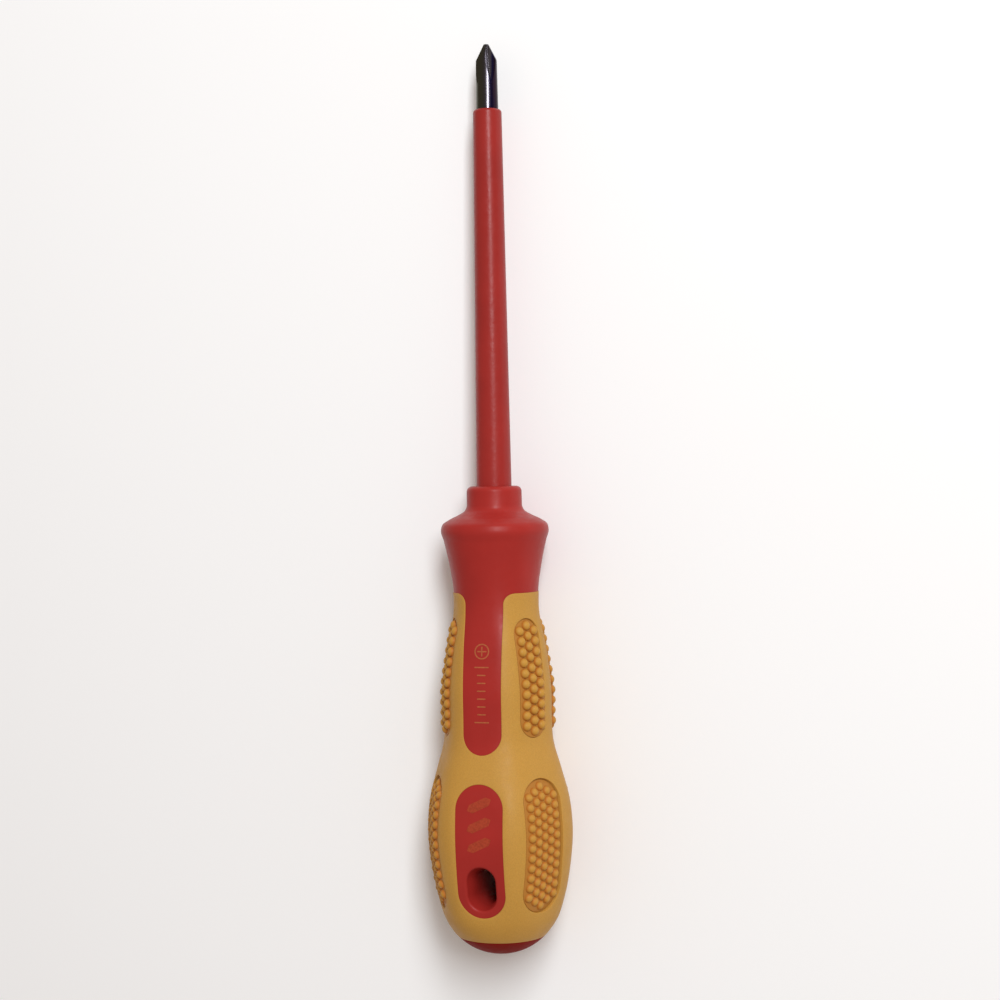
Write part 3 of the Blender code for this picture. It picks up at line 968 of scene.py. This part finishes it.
def red_plastic(name, color, roughness, peel, shine):
    """Satin red moulding: faint cloudiness, an orange-peel skin and uneven gloss."""
    material, tree, shader = new_material(name)
    cloud = add_noise(tree, scale=90.0, detail=3.0)
    grain = add_noise(tree, scale=2600.0, detail=2.0)
    stops = ((0.3, shade(color, 0.93)), (0.7, shade(color, 1.07)))
    tree.links.new(add_ramp(tree, cloud, stops), shader.inputs["Base Color"])
    gloss = add_noise(tree, scale=700.0, detail=4.0)
    spread = add_range(tree, gloss, roughness - 0.05, roughness + 0.07)
    tree.links.new(spread, shader.inputs["Roughness"])
    shader.inputs["Specular IOR Level"].default_value = shine
    soft = add_noise(tree, scale=900.0, detail=2.0)
    add_bump(tree, shader, ((soft, peel, 0.00012), (grain, peel * 0.5, 0.00004)))
    return material


def yellow_plastic():
    """Warm yellow grip plastic with a fine mottled grain."""
    material, tree, shader = new_material("grip_yellow")
    mottle = add_noise(tree, scale=4200.0, detail=2.0)
    stops = ((0.32, shade(YELLOW, 0.93)), (0.5, YELLOW), (0.7, shade(YELLOW, 1.07)))
    tree.links.new(add_ramp(tree, mottle, stops), shader.inputs["Base Color"])
    gloss = add_noise(tree, scale=500.0, detail=3.0)
    tree.links.new(add_range(tree, gloss, low=0.44, high=0.58), shader.inputs["Roughness"])
    shader.inputs["Specular IOR Level"].default_value = 0.18
    shader.inputs["Subsurface Weight"].default_value = 0.05
    shader.inputs["Subsurface Radius"].default_value = (0.0016, 0.0008, 0.0003)
    shader.inputs["Subsurface Scale"].default_value = 1.0
    grain = add_noise(tree, scale=3000.0, detail=2.0)
    add_bump(tree, shader, ((grain, 0.25, 0.00004),))
    return material


def pad_plastic():
    """Amber pad plastic with painted shade, darker and more orange in the valleys and on the floor, and
    painted light on the beads' tops.
    """
    material, tree, shader = new_material("pad_amber")
    rise = tree.nodes.new("ShaderNodeAttribute")
    rise.attribute_name = "rise"
    # painted shade from the floor up the beads' lower sides, painted light on their tops
    stops = ((0.02, PAD_FLOOR_SHADE), (0.12, AMBER_VALLEY_SHADE), (0.55, AMBER), (0.95, AMBER_TOP_LIT))
    tree.links.new(add_ramp(tree, rise.outputs["Fac"], stops), shader.inputs["Base Color"])
    gloss = add_noise(tree, scale=900.0, detail=3.0)
    tree.links.new(add_range(tree, gloss, low=0.45, high=0.6), shader.inputs["Roughness"])
    shader.inputs["Specular IOR Level"].default_value = 0.2
    grain = add_noise(tree, scale=3500.0, detail=2.0)
    add_bump(tree, shader, ((grain, 0.25, 0.00004),))
    return material


def blade_steel():
    """Dark polished tool steel with grinding lines round the bar, its colour laid across the bar from side
    to side as painted reflections and a painted highlight band.
    """
    material, tree, shader = new_material("blade_steel")
    place = tree.nodes.new("ShaderNodeTexCoord")
    axes = tree.nodes.new("ShaderNodeSeparateXYZ")
    tree.links.new(place.outputs["Object"], axes.inputs["Vector"])
    around = add_range(tree, axes.outputs["Y"], 0.0, 1.0, -SHANK_RADIUS * MM, SHANK_RADIUS * MM)
    uneven = tree.nodes.new("ShaderNodeMath")
    uneven.operation = "MULTIPLY_ADD"
    tree.links.new(add_noise(tree, scale=400.0, detail=2.0), uneven.inputs[0])
    uneven.inputs[1].default_value = 0.1
    tree.links.new(around, uneven.inputs[2])
    # the bar's colour follows its side-to-side place: painted reflections and a painted highlight band
    tree.links.new(add_ramp(tree, uneven.outputs["Value"], STEEL_SHEEN_STOPS), shader.inputs["Base Color"])
    shader.inputs["Metallic"].default_value = 1.0
    lines = add_noise(tree, scale=300.0, detail=3.0, stretch=(1.0, 1.0, 30.0))
    tree.links.new(add_range(tree, lines, low=0.16, high=0.3), shader.inputs["Roughness"])
    add_bump(tree, shader, ((lines, 0.12, 0.00002),))
    return material


def hard_black():
    """Dull black plastic of the hidden core."""
    material, tree, shader = new_material("core_black")
    cloud = add_noise(tree, scale=200.0, detail=2.0)
    tree.links.new(add_ramp(tree, cloud, ((0.3, CORE_DARK), (0.7, CORE_LIGHT))), shader.inputs["Base Color"])
    shader.inputs["Roughness"].default_value = 0.5
    return material


def plane_shape(loops):
    """Triangles over closed outlines, (across, height); a loop inside another is its hole."""
    points, edges = [], []
    for loop in loops:
        start = len(points)
        points.extend(loop)
        edges.extend((start + step, start + (step + 1) % len(loop)) for step in range(len(loop)))
    flat = [Vector(point) for point in points]
    spots, _, faces, _, _, _ = geometry.delaunay_2d_cdt(flat, edges, [], 3, FLAT_MERGE)
    return [tuple(spot) for spot in spots], [list(face) for face in faces]


def mark_solid(loops):
    """A print as thin as paint on the red skin, as a closed solid."""
    spots, faces = plane_shape(loops)
    count = len(spots)
    points = []
    for inset in (STRIP_SUNK - PRINT_RISE, STRIP_SUNK + PRINT_RISE):
        points += [skin_point(skin_angle(x, z), z, inset) for x, z in spots]
    walls = [(end, start, start + count, end + count) for start, end in open_edges(faces)]
    under = [[corner + count for corner in reversed(face)] for face in faces]
    return points, [*faces, *under, *walls]


def bar_loop(start, end, width):
    """Outline of a straight stroke with round ends, cut into short steps."""
    start, end = Vector(start), Vector(end)
    along = (end - start).normalized()
    across = Vector((-along.y, along.x)) * width / 2
    steps = max(2, round((end - start).length / EDGE_STEP))
    right = [tuple(start - across + (end - start) * step / steps) for step in range(steps + 1)]
    left = [tuple(end + across + (start - end) * step / steps) for step in range(steps + 1)]
    tip = along * width / 2
    return [*right, tuple(end + tip), *left, tuple(start - tip)]


def make_size_mark():
    """Generic print on the strip: a cross in a ring, over a row of ticks."""
    outer = arc((0.0, RING_MIDDLE), RING_RADIUS, 0.0, math.tau)[:-1]
    narrow = 1 - STROKE / RING_RADIUS
    inner = [(x * narrow, RING_MIDDLE + (z - RING_MIDDLE) * narrow) for x, z in outer]
    strokes = [((-CROSS_REACH, RING_MIDDLE), (CROSS_REACH, RING_MIDDLE))]
    for sign in (-1, 1):
        near, far = STROKE / 2 + CROSS_GAP, CROSS_REACH
        strokes.append(((0.0, RING_MIDDLE + sign * near), (0.0, RING_MIDDLE + sign * far)))
    for tick in range(TICKS):
        height = FIRST_TICK - TICK_PITCH * tick
        half = LONG_TICK if tick in (0, TICKS - 1) else SHORT_TICK
        strokes.append(((-half, height), (half, height)))
    solids = [ring_print(outer, inner)]
    solids += [mark_solid([bar_loop(start, end, STROKE)]) for start, end in strokes]
    merged("size_mark_print", solids, print_ink("size_mark", STRIP_INK))


def make_window_bars():
    """Generic print in the window: slanted bars one above the other."""
    solids = []
    for bar in range(BARS):
        height = FIRST_BAR - BAR_PITCH * bar
        start, end = (-BAR_HALF, height - BAR_RISE), (BAR_HALF, height + BAR_RISE)
        solids.append(mark_solid([bar_loop(start, end, BAR_WIDTH)]))
    merged("window_bars_print", solids, print_ink("window_bars", WINDOW_INK))


def ring_print(outer, inner):
    """A round stroke on the skin: rings of points outside, inside and under it."""
    count = len(outer)
    rings = [(outer, STRIP_SUNK + PRINT_RISE), (outer, STRIP_SUNK - PRINT_RISE)]
    rings += [(inner, STRIP_SUNK - PRINT_RISE), (inner, STRIP_SUNK + PRINT_RISE)]
    points = []
    for loop, inset in rings:
        points += [skin_point(skin_angle(x, z), z, inset) for x, z in loop]
    faces = []
    for band in range(len(rings)):
        start, upper = band * count, (band + 1) % len(rings) * count
        for index in range(count):
            after = (index + 1) % count
            faces.append((start + index, start + after, upper + after, upper + index))
    return points, faces


def merged(name, solids, material):
    """One print made of several closed solids."""
    points, faces = [], []
    for more_points, more_faces in solids:
        start = len(points)
        points += more_points
        faces += [[start + corner for corner in face] for face in more_faces]
    to_object(name, points, faces, None, material, weld=False)


def print_ink(name, color):
    """Worn print that has sunk a little into the red."""
    material, tree, shader = new_material(name)
    wear = add_noise(tree, scale=2200.0, detail=3.0)
    stops = ((0.35, shade(color, 0.86)), (0.65, shade(color, 1.08)))
    tree.links.new(add_ramp(tree, wear, stops), shader.inputs["Base Color"])
    shader.inputs["Roughness"].default_value = 0.5
    shader.inputs["Specular IOR Level"].default_value = 0.1
    return material


def make_pieces():
    """Every piece with its material, and the hidden core's own."""
    make_body(red_plastic("body_red", RED, roughness=0.37, peel=0.12, shine=0.17))
    # the end cap's darker red is painted shade
    make_end_cap(red_plastic("cap_red", CAP_RED_SHADED, roughness=0.55, peel=0.12, shine=0.03))
    make_sleeve(red_plastic("sleeve_red", SLEEVE_RED, roughness=0.33, peel=0.4, shine=0.22))
    make_grip(yellow_plastic())
    make_pads(pad_plastic())
    make_blade(blade_steel())
    make_size_mark()
    make_window_bars()
    core = frame["nodes"]["handle_core"]
    core.data.materials.clear()
    core.data.materials.append(hard_black())


def tool_point(x, y, z):
    """A point of the tool's frame, in millimetres, in the world."""
    return TOOL @ (Vector((x, y, z)) * MM)


def look_at(thing, place, target, up, roll=0.0):
    """Stands the camera or lamp at a place and points it at a target, with up upright in its view."""
    back = (place - target).normalized()
    right = up.cross(back).normalized()
    upright = back.cross(right)
    turn = Matrix((right, upright, back)).transposed() @ Matrix.Rotation(roll, 3, "Z")
    thing.matrix_world = Matrix.Translation(place) @ turn.to_4x4()


def make_camera():
    """The camera, in front of the tool and a little round to its right."""
    data = bpy.data.cameras.new("camera")
    data.lens = LENS
    data.sensor_width = SENSOR
    camera = bpy.data.objects.new("camera", data)
    bpy.context.scene.collection.objects.link(camera)
    toward = Vector((math.cos(VIEW_TURN), math.sin(VIEW_TURN), 0.0))
    right = Vector((-math.sin(VIEW_TURN), math.cos(VIEW_TURN), 0.0))
    place = toward * VIEW_DISTANCE + Vector((0.0, 0.0, VIEW_HEIGHT))
    aim = right * AIM_SIDE + Vector((0.0, 0.0, AIM_HEIGHT))
    look_at(camera, tool_point(*place), tool_point(*aim), ALONG, VIEW_ROLL)
    bpy.context.scene.camera = camera


def make_key():
    """The one lamp: a tall soft panel."""
    data = bpy.data.lights.new("key", "AREA")
    data.shape = "RECTANGLE"
    data.size, data.size_y = KEY_SIZE
    data.energy = KEY_WATTS
    data.color = KEY_COLOR
    lamp = bpy.data.objects.new("key", data)
    bpy.context.scene.collection.objects.link(lamp)
    front, side = KEY_DISTANCE * math.cos(KEY_TURN), KEY_DISTANCE * math.sin(KEY_TURN)
    place, target = tool_point(front, side, KEY_HEIGHT), tool_point(0.0, 0.0, KEY_AIM)
    look_at(lamp, place, target, Vector((1.0, 0.0, 0.01)))


def make_floor():
    """Pale floor under the tool."""
    mesh = bpy.data.meshes.new("floor")
    corners = [(x * FLOOR_HALF, y * FLOOR_HALF, 0.0) for x, y in ((-1, -1), (1, -1), (1, 1), (-1, 1))]
    mesh.from_pydata(corners, [], [(0, 1, 2, 3)])
    material, _, shader = new_material("floor")
    shader.inputs["Base Color"].default_value = FLOOR_COLOR
    shader.inputs["Roughness"].default_value = 0.85
    mesh.materials.append(material)
    floor = bpy.data.objects.new("floor", mesh)
    bpy.context.scene.collection.objects.link(floor)


def make_studio():
    """Even light from all round, the floor and the lamp."""
    world = bpy.data.worlds.new("studio")
    world.use_nodes = True
    back = world.node_tree.nodes["Background"]
    back.inputs["Color"].default_value = WORLD_COLOR
    back.inputs["Strength"].default_value = WORLD_STRENGTH
    bpy.context.scene.world = world
    bpy.context.scene.view_settings.view_transform = "Standard"
    make_floor()
    make_key()


make_camera()
make_pieces()
make_studio()
